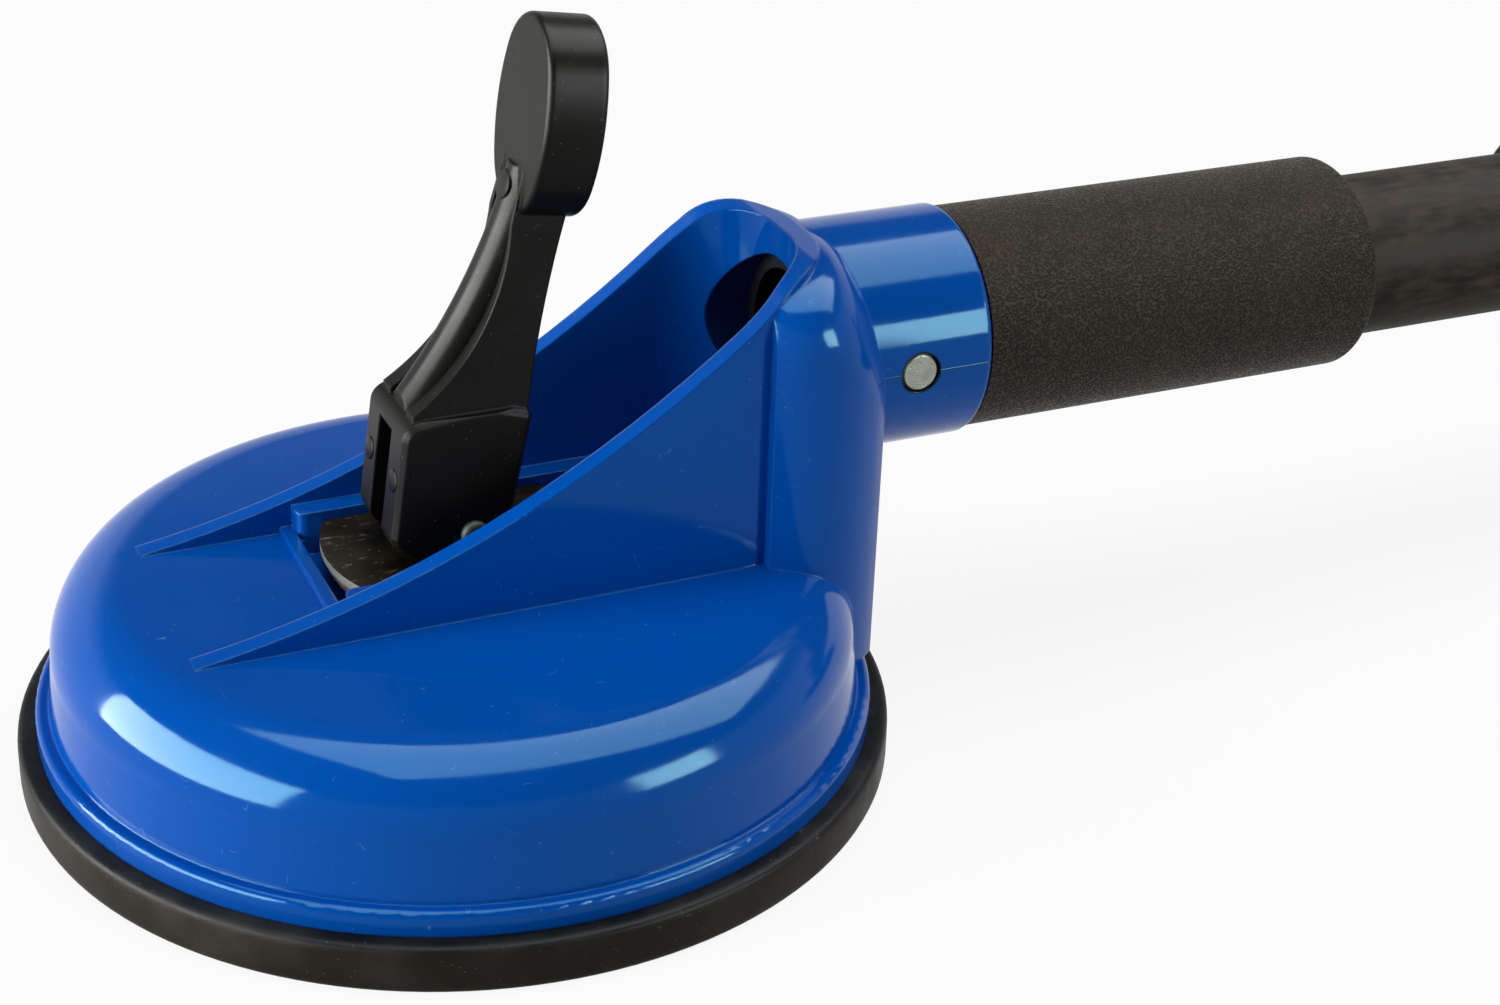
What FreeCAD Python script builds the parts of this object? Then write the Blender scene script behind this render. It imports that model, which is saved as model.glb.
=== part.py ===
import FreeCAD, Part
import math
import os
import Sketcher

# Two-head suction lifter for floor tiles, in millimetres.
# Z is up, X runs along the handle, and the origin is midway between the heads
# on the surface that the pads stand on. Each head is built about the middle of
# its own pad with +X towards the handle, and the right head is turned half round.

V = FreeCAD.Vector
UPRIGHT = FreeCAD.Rotation()
HALF_TURN = FreeCAD.Rotation(V(0, 0, 1), 180)
SAME_PLACE = 0.01
PLUMB = 0.99
NUT_FLATS = 6

document = FreeCAD.newDocument("suction_lifter")
sheet = document.addObject("Spreadsheet::Sheet", "sizes")
SIZES = {
    # Layout
    "head_spacing": 317,
    "bar_height": 52,

    # Rubber suction pad
    "pad_radius": 60,
    "pad_height": 6.3,
    "pad_edge_break": 0.5,
    "web_height": 4,
    "web_radius": 49,
    "lip_depth": 0.8,
    "lip_width": 6,
    "groove_radius": 38,
    "groove_width": 3,
    "groove_depth": 1,

    # Moulded housing: flange, dome and hollow
    "flange_radius": 57.3,
    "flange_height": 3.4,
    "flange_round": 0.9,
    "wall_foot_radius": 55.5,
    "dome_radius": 54.6,
    "dome_height": 27.4,
    "shoulder_round": 10,
    "wall_thickness": 3,
    "ceiling_thickness": 3,

    # Cheeks on both sides of the lever
    "trough_half_width": 14.3,
    "cheek_thickness": 3,
    "cheek_front": 40,
    "cheek_front_height": 27.5,
    "cheek_middle": 3,
    "cheek_middle_height": 41,
    "cheek_shoulder": 39,
    "cheek_shoulder_height": 65.1,
    "cheek_low_curve": 148,
    "cheek_high_curve": 165,
    "crest_place": 46.3,
    "crest_height": 68.8,
    "crest_round": 11.5,

    # Tower that carries the handle socket
    "tower_front": 38.2,
    "tower_front_half_width": 18.6,
    "tower_corner_depth": 5,
    "tower_half_width": 21.2,
    "tower_shoulder_height": 67,
    "tower_waist_depth": 7,
    "tower_waist_half_width": 20.3,
    "tower_back_depth": 5.5,
    "tower_back_half_width": 16.6,
    "tower_back_height": 60,
    "tower_edge_round": 8.5,
    "tower_waist_round": 15,
    "tower_back_round": 12,
    "tower_wall": 3,
    "trough_bend": 34.8,
    "end_wall_round": 12,

    # Socket and handle
    "socket_radius": 16.4,
    "socket_mouth": 72.1,
    "socket_mouth_round": 0.8,
    "tube_radius": 12.2,
    "tube_wall": 2,
    "tube_fit": 0.08,
    "tube_insert": 24,
    "sleeve_radius": 15.8,
    "sleeve_length": 64.6,
    "sleeve_gap": 0.3,
    "sleeve_end_round": 1.2,
    "socket_pin_radius": 2.8,
    "socket_pin_place": 61,
    "socket_pin_end": 16.2,
    "socket_pin_break": 0.4,
    "pin_fit": 0.05,

    # Lever seat in the trough
    "guide_height": 4.1,
    "guide_front": 19,
    "guide_corner_round": 1.5,
    "plate_half_width": 10.4,
    "plate_side_gap": 0.6,
    "plate_straight": 15.6,
    "plate_end_radius": 22,
    "upper_plate_thickness": 1.1,
    "lower_plate_thickness": 1.9,
    "lower_plate_inset": 0.5,
    "plate_hole_radius": 4.5,
    "rib_thickness": 1.7,
    "rib_height": 0.9,
    "well_depth": 2.2,
    "seat_reach": 13,
    "guide_bore_fit": 0.1,
    "guide_boss_radius": 9,
    "guide_boss_depth": 1.4,

    # Draw stem, its backing plate and lock nut
    "backing_plate_radius": 22,
    "backing_plate_thickness": 2,
    "boss_radius": 7.5,
    "boss_height": 3,
    "stem_radius": 4,
    "thread_fit": 0.04,
    "tongue_foot": 12,
    "tongue_half_width": 3.15,
    "tongue_half_thickness": 2.4,
    "nut_height": 4,
    "nut_half_flats": 6.5,

    # Lever and its pin, measured from the pin with the lever standing up
    "pin_above_plate": 4.2,
    "lever_pin_radius": 1.9,
    "lever_pin_overhang": 0.9,
    "lever_pin_round": 0.7,
    "cam_clearance": 0.15,
    "cam_flat": 5,
    "cam_round": 8.4,
    "fork_side": 11.3,
    "fork_side_foot": 0.1,
    "fork_half_width": 7.75,
    "fork_front": 9.3,
    "fork_front_height": 14.6,
    "fork_front_round": 2.6,
    "fork_brow": 7,
    "fork_brow_height": 16.9,
    "fork_crown": 3.2,
    "fork_crown_height": 17.9,
    "fork_back": 8.5,
    "fork_back_height": 16.2,
    "fork_heel": 5.2,
    "fork_heel_height": 0.5,
    "fork_heel_foot": 3,
    "fork_edge_break": 0.7,
    "slot_half_width": 2.65,
    "slot_back": 4.6,
    "slot_top": 14.4,
    "shank_half_width": 6.5,
    "shank_foot_height": 14,
    "shank_back_foot": 7.7,
    "shank_back": 15,
    "shank_back_height": 44.2,
    "shank_back_curve": 157,
    "shank_brow": 8.8,
    "shank_brow_height": 49,
    "shank_front": 7.6,
    "shank_front_height": 17.4,
    "shank_neck": 6.8,
    "shank_neck_height": 41.4,
    "shank_front_curve": 32.4,
    "shank_taper_foot": 17,
    "neck_half_width": 3.6,
    "gutter_half_width": 3.5,
    "gutter_foot": 3.4,
    "gutter_foot_height": 18.2,
    "gutter_neck": 7.8,
    "gutter_neck_height": 42.2,
    "gutter_curve": 34.4,
    "ridge_half_width": 3.3,
    "ridge_front": 7.4,
    "ridge_front_height": 18.6,
    "ridge_neck": 8.2,
    "ridge_neck_height": 48.2,
    "ridge_curve": 85,
    "ridge_depth": 2.7,
    "ridge_round": 3,
    "thumb_lean": 8.5,
    "thumb_place": 9.6,
    "thumb_height": 54.5,
    "thumb_thickness": 8.2,
    "thumb_half_width": 7.8,
    "thumb_side_reach": 7.6,
    "thumb_side_curve": 22,
    "thumb_end_curve": 8.3,
    "thumb_rim_round": 0.8,
}
for row, (alias, number) in enumerate(SIZES.items(), start=1):
    sheet.set("A%d" % row, alias)
    sheet.set("B%d" % row, str(number))
    sheet.setAlias("B%d" % row, alias)
document.recompute()


def value(term):
    """The number that a sum of size names stands for, such as 'dome_height - wall_thickness'."""
    total = 0.0
    sign = 1.0
    for word in term.split():
        if word in "+-":
            sign = 1.0 if word == "+" else -1.0
            continue
        factor = 1.0
        if word.startswith("-"):
            factor = -1.0
            word = word[1:]
        if word.endswith("/2"):
            factor = factor / 2
            word = word[:-2]
        total += sign * factor * (0.0 if word == "0" else SIZES[word])
        sign = 1.0
    return total


def formula(term):
    """The same sum as an expression that reads the sheet."""
    words = []
    for word in term.split():
        if word in "+-":
            words.append(word)
        elif word.startswith("-"):
            words.append("-sizes." + word[1:])
        else:
            words.append("sizes." + word)
    return " ".join(words)


def bind(thing, place, term):
    thing.setExpression(place, formula(term))


def new_body(name, head):
    """A body on the left head (-1), on the right head (1) or on the handle (0)."""
    body = document.addObject("PartDesign::Body", name)
    body.Label = name
    body.Placement = FreeCAD.Placement(V(0, 0, 0), HALF_TURN if head > 0 else UPRIGHT)
    if head:
        body.setExpression("Placement.Base.x", "%d * sizes.head_spacing / 2" % head)
    return body


def new_sketch(body, name, plane, offset=None):
    """A sketch on one of the body's own origin planes, moved along its normal by a size."""
    sketch = body.newObject("Sketcher::SketchObject", name)
    origin = [f for f in body.Origin.OriginFeatures if f.Role == plane][0]
    sketch.AttachmentSupport = [(origin, "")]
    sketch.MapMode = "FlatFace"
    if offset:
        sketch.AttachmentOffset = FreeCAD.Placement(V(0, 0, value(offset)), UPRIGHT)
        bind(sketch, "AttachmentOffset.Base.z", offset)
    return sketch


def minus(term):
    """The same sum with every sign turned round."""
    turned = []
    sign = "-"
    for word in term.split():
        if word in "+-":
            sign = "-" if word == "+" else "+"
            continue
        if word.startswith("-"):
            word = word[1:]
            sign = "+" if sign == "-" else "-"
        turned += [sign, word]
        sign = "-"
    return " ".join(turned)


def fix_point(sketch, geometry, end, x, y):
    """Hold one end of a line or arc, or a centre, at the sizes x and y."""
    for kind, axis, term in (("DistanceX", -2, x), ("DistanceY", -1, y)):
        if term == "0":
            sketch.addConstraint(Sketcher.Constraint("PointOnObject", geometry, end, axis))
        else:
            number = sketch.addConstraint(Sketcher.Constraint(kind, -1, 1, geometry, end, value(term)))
            bind(sketch, "Constraints[%d]" % number, term)


def outline(sketch, *points):
    """A closed outline through points (x, y). A third and fourth entry make the edge that
    arrives there an arc of that radius, with its centre on the left or right of the way,
    and a third entry "half round" makes it a half circle with its centre midway."""
    ends = []
    for number, point in enumerate(points):
        before = points[number - 1]
        start = V(value(before[0]), value(before[1]), 0)
        stop = V(value(point[0]), value(point[1]), 0)
        if len(point) == 2:
            edge = sketch.addGeometry(Part.LineSegment(start, stop), False)
            ends.append((edge, 1, 2))
            continue
        chord = stop - start
        radius = value(point[2]) if len(point) == 4 else chord.Length / 2
        side = -1 if point[-1] == "right" else 1
        reach = math.sqrt(max(radius ** 2 - chord.Length ** 2 / 4, 0))
        centre = (start + stop) * 0.5 + V(-chord.y, chord.x, 0).normalize() * (side * reach)
        first, last = (start, stop) if side > 0 else (stop, start)
        angles = [math.atan2(p.y - centre.y, p.x - centre.x) for p in (first, last)]
        circle = Part.Circle(centre, V(0, 0, 1), radius)
        edge = sketch.addGeometry(Part.ArcOfCircle(circle, angles[0], angles[1]), False)
        ends.append((edge, 1, 2) if side > 0 else (edge, 2, 1))
    for number, point in enumerate(points):
        edge, start_end, stop_end = ends[number]
        following = ends[(number + 1) % len(ends)]
        sketch.addConstraint(Sketcher.Constraint("Coincident", edge, stop_end, following[0], following[1]))
        fix_point(sketch, edge, stop_end, point[0], point[1])
        if len(point) == 4:
            radius = sketch.addConstraint(Sketcher.Constraint("Radius", edge, value(point[2])))
            bind(sketch, "Constraints[%d]" % radius, point[2])
        elif len(point) == 3:
            sketch.addConstraint(Sketcher.Constraint("Symmetric", edge, 1, edge, 2, edge, 3))


def circle(sketch, x, y, radius):
    centre = V(value(x), value(y), 0)
    edge = sketch.addGeometry(Part.Circle(centre, V(0, 0, 1), value(radius)), False)
    fix_point(sketch, edge, 3, x, y)
    number = sketch.addConstraint(Sketcher.Constraint("Radius", edge, value(radius)))
    bind(sketch, "Constraints[%d]" % number, radius)


def rectangle(sketch, left, bottom, right, top):
    outline(sketch, (right, bottom), (right, top), (left, top), (left, bottom))


def extrude(body, kind, sketch, length, both_ways=False, backwards=False):
    """A pad or pocket of a sketch by a size, or through everything when length is None."""
    before = body.Tip.Shape.Volume if body.Tip else 0.0
    feature = body.newObject("PartDesign::" + kind, sketch.Name + "_" + kind.lower())
    feature.Profile = sketch
    if length is None:
        feature.Type = "ThroughAll"
    else:
        feature.Length = value(length)
        bind(feature, "Length", length)
    if both_ways:
        feature.Midplane = True
    feature.Reversed = backwards
    finish(body, feature, before, kind == "Pocket")
    return feature


def turn(body, kind, sketch):
    """A revolution or groove about the sketch's vertical axis."""
    before = body.Tip.Shape.Volume if body.Tip else 0.0
    feature = body.newObject("PartDesign::" + kind, sketch.Name + "_" + kind.lower())
    feature.Profile = sketch
    feature.ReferenceAxis = (sketch, ["V_Axis"])
    feature.Angle = 360
    finish(body, feature, before, kind == "Groove")
    return feature


def finish(body, feature, before, cuts):
    """Recompute a new feature and make sure that it added or removed material."""
    if hasattr(feature, "Profile") and feature.Profile:
        feature.Profile[0].Visibility = False
    document.recompute()
    after = feature.Shape.Volume
    if (after >= before) if cuts else (after <= before):
        raise RuntimeError("%s of %s changed nothing: %.3f to %.3f"
                           % (feature.Name, body.Label, before, after))
    body.Tip = feature


def dress(body, kind, term, choose):
    """A fillet or chamfer on the edges of the tip that the rule chooses."""
    base = body.Tip
    names = ["Edge%d" % (n + 1) for n, edge in enumerate(base.Shape.Edges) if choose(edge)]
    if not names:
        raise RuntimeError("no edge for the %s of %s" % (kind, body.Label))
    feature = body.newObject("PartDesign::" + kind, body.Name + "_" + kind.lower())
    feature.Base = (base, names)
    place = "Radius" if kind == "Fillet" else "Size"
    setattr(feature, place, value(term))
    bind(feature, place, term)
    document.recompute()
    if feature.Shape.isNull() or not feature.Shape.isValid():
        raise RuntimeError("the %s of %s failed" % (kind, body.Label))
    body.Tip = feature


def near(number, term):
    return abs(number - value(term)) < SAME_PLACE


def ring_at(radius, height):
    """A rule: full circles about the vertical axis with this radius and height."""
    def choose(edge):
        curve = edge.Curve
        return (isinstance(curve, Part.Circle) and near(curve.Radius, radius)
                and near(curve.Center.z, height))
    return choose


def ring_across(radius, *places):
    """A rule: full circles about the handle's axis with this radius, at these places along X."""
    def choose(edge):
        curve = edge.Curve
        return (isinstance(curve, Part.Circle) and near(curve.Radius, radius)
                and any(near(curve.Center.x, place) for place in places))
    return choose


def upright_at(place, half_width):
    """A rule: straight upright edges at this place along X, this far from the middle plane."""
    def choose(edge):
        return (isinstance(edge.Curve, Part.Line)
                and abs(edge.tangentAt(edge.FirstParameter).z) > PLUMB
                and all(near(v.X, place) and near(abs(v.Y), half_width) for v in edge.Vertexes))
    return choose


def suction_pad(name, head):
    """Round rubber pad, thick at its rim and thin under the hollow of the housing."""
    body = new_body(name, head)
    section = new_sketch(body, name + "_section", "XZ_Plane")
    outline(section,
            ("0", "0"),
            ("groove_radius", "0"),
            ("groove_radius", "groove_depth"),
            ("groove_radius + groove_width", "groove_depth"),
            ("groove_radius + groove_width", "0"),
            ("pad_radius - lip_width", "0"),
            ("pad_radius - lip_width/2", "lip_depth"),
            ("pad_radius", "0"),
            ("pad_radius", "pad_height"),
            ("web_radius", "pad_height"),
            ("web_radius", "web_height"),
            ("0", "web_height"))
    turn(body, "Revolution", section)
    dress(body, "Chamfer", "pad_edge_break", ring_at("pad_radius", "pad_height"))
    return body


def trough_plan(sketch, front, outwards):
    """Plan of the lever's trough, rounded where the cheeks meet at the handle, or of its wall's
    outside when a thickness is added outwards."""
    end = "trough_bend + end_wall_round" + outwards
    side = "trough_half_width" + outwards
    level = "trough_half_width - end_wall_round"
    outline(sketch,
            (front, minus(side)),
            ("trough_bend", minus(side)),
            (end, minus(level), "end_wall_round" + outwards, "left"),
            (end, level),
            ("trough_bend", side, "end_wall_round" + outwards, "left"),
            (front, side))


TOWER_CORNER = "tower_front + tower_corner_depth"
TOWER_WAIST = TOWER_CORNER + " + tower_waist_depth"
TOWER_BACK = TOWER_WAIST + " + tower_back_depth"
SOCKET_TOP = "bar_height + socket_radius"


def tower_section(body, name, place, half_width, top, edge_round):
    """A section across the handle: upright sides and a level top with rounded edges."""
    arch = new_sketch(body, name, "YZ_Plane", place)
    foot = "pad_height + flange_height"
    side = top + " - " + edge_round
    outline(arch,
            (half_width, foot),
            (half_width, side),
            (half_width + " - " + edge_round, top, edge_round, "left"),
            ("-" + half_width + " + " + edge_round, top),
            ("-" + half_width, side, edge_round, "left"),
            ("-" + half_width, foot))
    return arch


def housing(name, head):
    """Moulded housing: dome, cheeks, tower and handle socket in one piece."""
    body = new_body(name, head)

    dome = new_sketch(body, name + "_dome", "XZ_Plane")
    outline(dome,
            ("0", "pad_height"),
            ("flange_radius", "pad_height"),
            ("flange_radius", "pad_height + flange_height"),
            ("wall_foot_radius", "pad_height + flange_height"),
            ("dome_radius", "dome_height - shoulder_round"),
            ("dome_radius - shoulder_round", "dome_height", "shoulder_round", "left"),
            ("0", "dome_height"))
    turn(body, "Revolution", dome)
    dress(body, "Fillet", "flange_round", ring_at("flange_radius", "pad_height + flange_height"))

    cheeks = new_sketch(body, name + "_cheeks", "XY_Plane", "dome_height - shoulder_round")
    trough_plan(cheeks, "-cheek_front", " + cheek_thickness")
    extrude(body, "Pad", cheeks, "bar_height")

    arches = [tower_section(body, name + "_tower_" + part, *sizes) for part, *sizes in (
        ("front", "tower_front", "tower_front_half_width", "tower_shoulder_height", "tower_edge_round"),
        ("corner", TOWER_CORNER, "tower_half_width", "tower_shoulder_height", "tower_edge_round"),
        ("waist", TOWER_WAIST, "tower_waist_half_width", SOCKET_TOP, "tower_waist_round"),
        ("back", TOWER_BACK, "tower_back_half_width", "tower_back_height", "tower_back_round"))]
    before = body.Tip.Shape.Volume
    tower = body.newObject("PartDesign::AdditiveLoft", name + "_tower")
    tower.Profile = arches[0]
    tower.Sections = arches[1:]
    finish(body, tower, before, cuts=False)
    brow = new_sketch(body, name + "_brow", "XZ_Plane")
    outline(brow,
            ("-cheek_front", "cheek_front_height"),
            ("cheek_middle", "cheek_middle_height", "cheek_low_curve", "left"),
            ("cheek_shoulder", "cheek_shoulder_height", "cheek_high_curve", "left"),
            ("crest_place", "crest_height", "crest_round", "right"),
            ("socket_mouth", "crest_height"),
            ("socket_mouth", "bar_height + pad_radius"),
            ("-cheek_front", "bar_height + pad_radius"))
    extrude(body, "Pocket", brow, None, both_ways=True)

    barrel = new_sketch(body, name + "_socket", "YZ_Plane", TOWER_CORNER)
    circle(barrel, "0", "bar_height", "socket_radius")
    extrude(body, "Pad", barrel, "socket_mouth - " + TOWER_CORNER.replace("+", "-"))
    dress(body, "Fillet", "socket_mouth_round", ring_across("socket_radius", "socket_mouth"))

    trough = new_sketch(body, name + "_trough", "XY_Plane", "dome_height")
    trough_plan(trough, "-pad_radius", "")
    extrude(body, "Pocket", trough, "bar_height + socket_radius", backwards=True)

    guides = new_sketch(body, name + "_guides", "XY_Plane", "dome_height")
    for near_side, far_side in (("plate_half_width + plate_side_gap", "trough_half_width"),
                                ("-trough_half_width", "-plate_half_width - plate_side_gap")):
        rectangle(guides, "-guide_front", near_side, "trough_bend", far_side)
    extrude(body, "Pad", guides, "guide_height")
    dress(body, "Fillet", "guide_corner_round",
          upright_at("-guide_front", "plate_half_width + plate_side_gap"))

    rib = new_sketch(body, name + "_rib", "XY_Plane", "dome_height")
    rectangle(rib, "-guide_front - rib_thickness", "-trough_half_width", "-guide_front", "trough_half_width")
    extrude(body, "Pad", rib, "rib_height")

    well = new_sketch(body, name + "_well", "XY_Plane", "dome_height")
    rectangle(well, "-guide_front", "-plate_half_width - plate_side_gap",
              "-seat_reach", "plate_half_width + plate_side_gap")
    extrude(body, "Pocket", well, "well_depth")

    hollow = new_sketch(body, name + "_hollow", "XZ_Plane")
    outline(hollow,
            ("0", "pad_height"),
            ("wall_foot_radius - wall_thickness", "pad_height"),
            ("dome_radius - wall_thickness", "dome_height - shoulder_round"),
            ("dome_radius - shoulder_round", "dome_height - ceiling_thickness",
             "shoulder_round - wall_thickness", "left"),
            ("0", "dome_height - ceiling_thickness"))
    turn(body, "Groove", hollow)

    core = new_sketch(body, name + "_core", "XY_Plane", "pad_height")
    rectangle(core, "trough_bend + end_wall_round + tower_wall", "-tower_back_half_width + tower_wall",
              TOWER_BACK + " - tower_wall", "tower_back_half_width - tower_wall")
    extrude(body, "Pocket", core, "bar_height - tube_radius - tower_wall - pad_height", backwards=True)

    boss = new_sketch(body, name + "_guide_boss", "XY_Plane", "dome_height - ceiling_thickness")
    circle(boss, "0", "0", "guide_boss_radius")
    extrude(body, "Pad", boss, "guide_boss_depth", backwards=True)

    bore = new_sketch(body, name + "_guide_bore", "XY_Plane")
    circle(bore, "0", "0", "stem_radius + guide_bore_fit")
    extrude(body, "Pocket", bore, "dome_height + guide_height", backwards=True)

    tube_bore = new_sketch(body, name + "_tube_bore", "YZ_Plane")
    circle(tube_bore, "0", "bar_height", "tube_radius + tube_fit")
    extrude(body, "Pocket", tube_bore, "socket_mouth + pad_radius", backwards=True)

    pin_hole = new_sketch(body, name + "_pin_hole", "XZ_Plane")
    circle(pin_hole, "socket_pin_place", "bar_height", "socket_pin_radius + pin_fit")
    extrude(body, "Pocket", pin_hole, None, both_ways=True)
    return body


def wear_plate(name, head, bottom, thickness, inset):
    """Steel plate with rounded ends, on which the lever's cam runs."""
    body = new_body(name, head)
    plan = new_sketch(body, name + "_plan", "XY_Plane", bottom)
    straight = "plate_straight" + inset
    side = "plate_half_width" + inset
    outline(plan,
            (straight, side, "plate_end_radius", "left"),
            (minus(straight), side),
            (minus(straight), minus(side), "plate_end_radius", "left"),
            (straight, minus(side)))
    circle(plan, "0", "0", "plate_hole_radius")
    extrude(body, "Pad", plan, thickness)
    return body


def backing_plate(name, head):
    """Steel disc moulded to the middle of the pad, with a threaded boss for the stem."""
    body = new_body(name, head)
    section = new_sketch(body, name + "_section", "XZ_Plane")
    top = "web_height + backing_plate_thickness"
    outline(section,
            ("stem_radius + thread_fit", "web_height"),
            ("backing_plate_radius", "web_height"),
            ("backing_plate_radius", top),
            ("boss_radius", top),
            ("boss_radius", top + " + boss_height"),
            ("stem_radius + thread_fit", top + " + boss_height"))
    turn(body, "Revolution", section)
    return body


PLATE_TOP = "dome_height + lower_plate_thickness + upper_plate_thickness"
PIN_HEIGHT = PLATE_TOP + " + pin_above_plate"


def draw_stem(name, head):
    """Round steel stem screwed into the backing plate, flattened to an eye for the lever's pin."""
    body = new_body(name, head)
    shank = new_sketch(body, name + "_shank", "XY_Plane", "web_height")
    circle(shank, "0", "0", "stem_radius")
    extrude(body, "Pad", shank, PIN_HEIGHT + " - tongue_foot - web_height")
    tongue = new_sketch(body, name + "_tongue", "XZ_Plane")
    foot = PIN_HEIGHT + " - tongue_foot - boss_height"
    outline(tongue,
            ("tongue_half_width", foot),
            ("tongue_half_width", PIN_HEIGHT),
            ("-tongue_half_width", PIN_HEIGHT, "half round"),
            ("-tongue_half_width", foot))
    extrude(body, "Pad", tongue, "tongue_half_thickness + tongue_half_thickness", both_ways=True)
    eye = new_sketch(body, name + "_eye", "XZ_Plane")
    circle(eye, "0", PIN_HEIGHT, "lever_pin_radius + pin_fit")
    extrude(body, "Pocket", eye, None, both_ways=True)
    return body


def lock_nut(name, head):
    """Thin hexagon nut that locks the stem against the backing plate's boss."""
    body = new_body(name, head)
    plan = new_sketch(body, name + "_plan", "XY_Plane",
                      "web_height + backing_plate_thickness + boss_height")
    turn = 2 * math.pi / NUT_FLATS
    corner = value("nut_half_flats") / math.cos(turn / 2)
    points = [V(corner * math.cos(turn * n), corner * math.sin(turn * n), 0) for n in range(NUT_FLATS)]
    for n in range(NUT_FLATS):
        plan.addGeometry(Part.LineSegment(points[n], points[(n + 1) % NUT_FLATS]), False)
    for n in range(NUT_FLATS):
        plan.addConstraint(Sketcher.Constraint("Coincident", n, 2, (n + 1) % NUT_FLATS, 1))
    for n in range(1, NUT_FLATS):
        plan.addConstraint(Sketcher.Constraint("Equal", 0, n))
    guide = plan.addGeometry(Part.Circle(V(0, 0, 0), V(0, 0, 1), value("nut_half_flats")), True)
    plan.addConstraint(Sketcher.Constraint("Coincident", guide, 3, -1, 1))
    for n in range(NUT_FLATS):
        plan.addConstraint(Sketcher.Constraint("Tangent", n, guide))
    plan.addConstraint(Sketcher.Constraint("PointOnObject", 0, 1, -1))
    number = plan.addConstraint(Sketcher.Constraint("Radius", guide, value("nut_half_flats")))
    bind(plan, "Constraints[%d]" % number, "nut_half_flats")
    circle(plan, "0", "0", "stem_radius + thread_fit")
    extrude(body, "Pad", plan, "nut_height")
    return body


def cross_pin(name, head, place, height, radius, half_length, end_size, dressing):
    """Steel pin across the handle, along Y."""
    body = new_body(name, head)
    end = new_sketch(body, name + "_end", "XZ_Plane")
    circle(end, place, height, radius)
    extrude(body, "Pad", end, half_length + " + " + half_length, both_ways=True)
    dress(body, dressing, end_size, lambda edge: isinstance(edge.Curve, Part.Circle))
    return body


def shank_side(sketch, foot, foot_height, neck, neck_height, front_curve):
    """Side view of the lever's shank behind a concave front edge."""
    outline(sketch,
            ("-" + foot, "shank_foot_height"),
            ("shank_back_foot", "shank_foot_height"),
            ("shank_back", "shank_back_height", "shank_back_curve", "right"),
            ("shank_brow", "shank_brow_height"),
            (neck, neck_height),
            ("-" + foot, foot_height, front_curve, "right"))


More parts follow.
